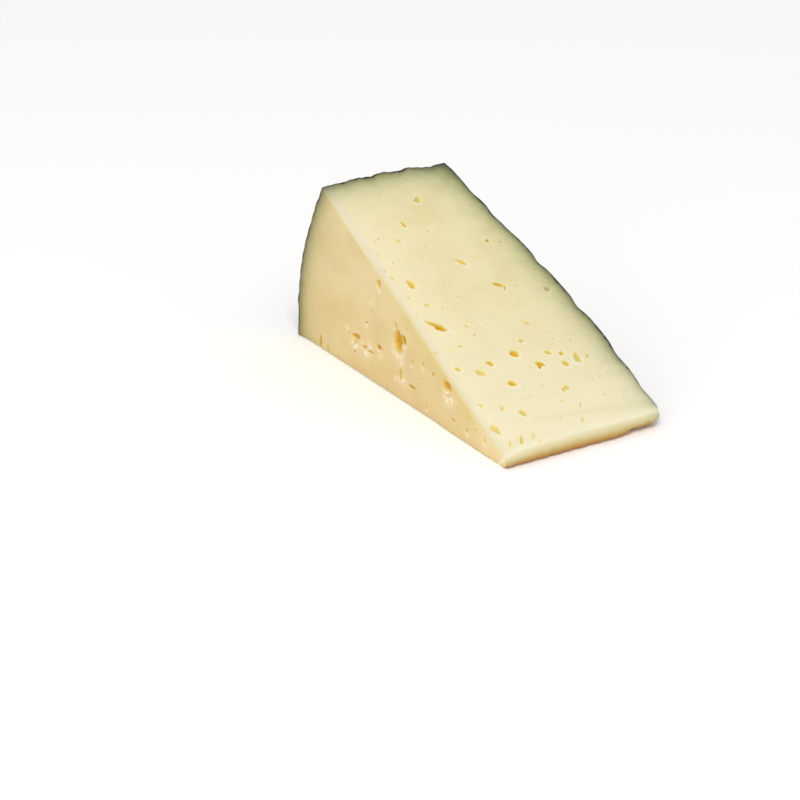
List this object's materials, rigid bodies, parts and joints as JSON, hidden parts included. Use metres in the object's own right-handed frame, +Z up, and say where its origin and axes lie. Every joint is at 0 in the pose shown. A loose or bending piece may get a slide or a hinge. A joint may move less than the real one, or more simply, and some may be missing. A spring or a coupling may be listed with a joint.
{
  "type": "cheese wedge",
  "caption": "Thin wedge cut from half of a pressed cheese wheel, lying on a long cut face, with small eyes, a round nose and rind on the outer faces.",
  "frame": {"origin": "middle of the bounding box's bottom face, on the surface that the wedge lies on", "axes": "+Z up, +Y along the wedge from its tip to the round rind, +X along the wheel's axis from the halving cut to the flat rind"},
  "size_m": [0.0502, 0.1018, 0.0476],
  "materials": {
    "cheese": null
  },
  "bodies": {
    "root": {"cheese_wedge": "cheese"}
  },
  "joints": []
}
